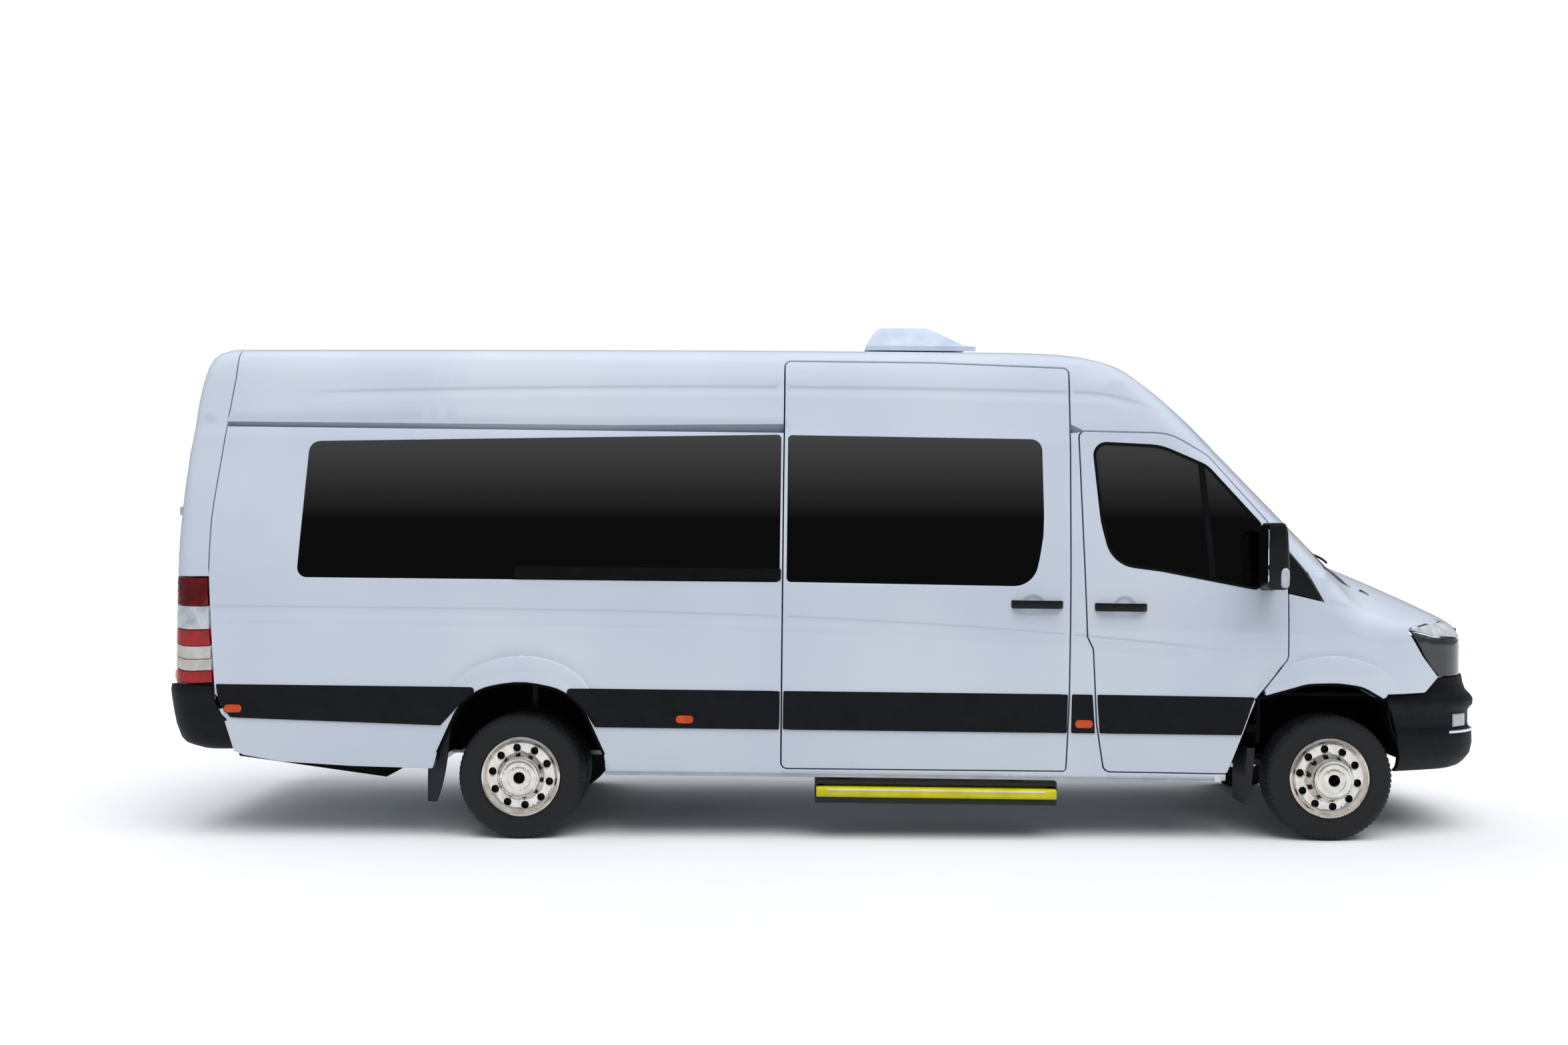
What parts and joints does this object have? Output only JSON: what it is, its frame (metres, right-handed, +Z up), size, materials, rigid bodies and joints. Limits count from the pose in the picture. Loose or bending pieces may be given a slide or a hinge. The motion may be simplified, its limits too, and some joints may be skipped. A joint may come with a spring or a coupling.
{
  "type": "high-roof minibus",
  "caption": "Long high-roof passenger van with a side sliding door, twin rear wheels, rear doors, opening bonnet and steering.",
  "frame": {"origin": "on the ground under the middle of the bounding box", "axes": "+X forward, +Y to the vehicle's left, +Z up"},
  "size_m": [7.2817, 2.47, 2.8044],
  "materials": {
    "paint_white": "gloss white paint",
    "black_plastic": "moulded, fine grain",
    "window_glass": "dark tinted glass",
    "clear_glass": "laminated glass",
    "chassis_black": "satin black paint",
    "spring_steel": "satin black",
    "cast_iron": "as cast",
    "steel": "bare steel",
    "polished_cover": "polished stainless cover",
    "tyre": "black rubber",
    "lens_clear": "clear lens over reflector",
    "lens_red": "red lens",
    "lens_amber": "amber lens",
    "white_plastic": "white moulding",
    "step_yellow": "yellow edge on black tread",
    "cabin_plastic": "grained",
    "seat_fabric": "woven upholstery",
    "tank_plastic": "moulded"
  },
  "bodies": {
    "body": {"body_side_right": "paint_white", "body_side_left": "paint_white", "roof_panel": "paint_white", "rear_frame": "paint_white", "windscreen_pillars": "paint_white", "front_wings": "paint_white", "scuttle_panel": "black_plastic", "windscreen": "clear_glass", "side_windows": "window_glass", "sliding_door": "paint_white", "floor_pan": "chassis_black", "chassis_frame": "chassis_black", "leaf_springs": "spring_steel", "engine_block": "cast_iron", "exhaust_pipe": "steel", "fuel_tank": "tank_plastic", "front_bumper": "black_plastic", "rear_bumper": "black_plastic", "front_grille": "black_plastic", "headlamps": "lens_clear", "tail_lamps": "lens_red", "marker_lamps": "lens_amber", "roof_air_conditioner": "white_plastic", "step_housing": "chassis_black", "dashboard": "cabin_plastic", "front_seats": "seat_fabric", "passenger_seats": "seat_fabric", "mudflaps": "black_plastic", "front_axle": "chassis_black", "rear_axle": "cast_iron", "propshaft": "steel"},
    "knuckle_right": {"knuckle_right": "cast_iron"},
    "knuckle_left": {"knuckle_left": "cast_iron"},
    "wheel_front_right": {"front_wheel_right": "polished_cover", "front_tyre_right": "tyre"},
    "wheel_front_left": {"front_wheel_left": "polished_cover", "front_tyre_left": "tyre"},
    "wheels_rear_right": {"rear_wheels_right": "polished_cover", "rear_tyres_right": "tyre"},
    "wheels_rear_left": {"rear_wheels_left": "polished_cover", "rear_tyres_left": "tyre"},
    "bonnet": {"bonnet": "paint_white"},
    "door_front_right": {"front_door_right": "paint_white", "front_door_glass_right": "window_glass", "mirror_right": "black_plastic"},
    "door_front_left": {"front_door_left": "paint_white", "front_door_glass_left": "window_glass", "mirror_left": "black_plastic"},
    "door_rear_right": {"rear_door_right": "paint_white", "rear_door_glass_right": "window_glass"},
    "door_rear_left": {"rear_door_left": "paint_white", "rear_door_glass_left": "window_glass"},
    "steering_wheel": {"steering_wheel": "cabin_plastic"},
    "step_tread": {"step_tread": "step_yellow"}
  },
  "joints": [
    {"name": "steer_right", "type": "hinge", "parent": "body", "child": "knuckle_right", "pos_m": [2.6405, -0.745, 0.335], "axis": [0, 0, 1], "range_deg": [-35, 35]},
    {"name": "steer_left", "type": "hinge", "parent": "body", "child": "knuckle_left", "pos_m": [2.6405, 0.745, 0.335], "axis": [0, 0, 1], "range_deg": [-35, 35]},
    {"name": "steering_wheel_turn", "type": "hinge", "parent": "body", "child": "steering_wheel", "pos_m": [1.96554, 0.43, 1.30033], "axis": [-0.878, 0, 0.4787], "range_deg": [-490, 490]},
    {"name": "front_wheel_right_spin", "type": "hinge", "parent": "knuckle_right", "child": "wheel_front_right", "pos_m": [2.6405, -0.8645, 0.335], "axis": [0, 1, 0], "continuous": true},
    {"name": "front_wheel_left_spin", "type": "hinge", "parent": "knuckle_left", "child": "wheel_front_left", "pos_m": [2.6405, 0.8645, 0.335], "axis": [0, 1, 0], "continuous": true},
    {"name": "rear_wheels_right_spin", "type": "hinge", "parent": "body", "child": "wheels_rear_right", "pos_m": [-1.6845, -0.752, 0.335], "axis": [0, 1, 0], "continuous": true},
    {"name": "rear_wheels_left_spin", "type": "hinge", "parent": "body", "child": "wheels_rear_left", "pos_m": [-1.6845, 0.752, 0.335], "axis": [0, 1, 0], "continuous": true},
    {"name": "bonnet_hinge", "type": "hinge", "parent": "body", "child": "bonnet", "pos_m": [2.84231, 0, 1.44732], "axis": [0, -1, 0], "range_deg": [0, 55]},
    {"name": "front_door_right_hinge", "type": "hinge", "parent": "body", "child": "door_front_right", "pos_m": [2.40743, -0.983, 1.17485], "axis": [0.0105, 0, 0.9999], "range_deg": [0, 70]},
    {"name": "front_door_left_hinge", "type": "hinge", "parent": "body", "child": "door_front_left", "pos_m": [2.40743, 0.983, 1.17485], "axis": [-0.0105, 0, -0.9999], "range_deg": [0, 70]},
    {"name": "rear_door_right_hinge", "type": "hinge", "parent": "body", "child": "door_rear_right", "pos_m": [-3.59214, -0.868, 1.43769], "axis": [0.0105, 0, 0.9999], "range_deg": [0, 90]},
    {"name": "rear_door_left_hinge", "type": "hinge", "parent": "body", "child": "door_rear_left", "pos_m": [-3.59214, 0.868, 1.43769], "axis": [-0.0105, 0, -0.9999], "range_deg": [0, 90]},
    {"name": "step_slide", "type": "slide", "parent": "body", "child": "step_tread", "axis": [0, -1, 0], "range_m": [0, 0.25]}
  ],
  "couplings": [
    {"joint": "steer_left", "follows": "steer_right", "ratio": 1},
    {"joint": "steering_wheel_turn", "follows": "steer_right", "ratio": 14}
  ]
}
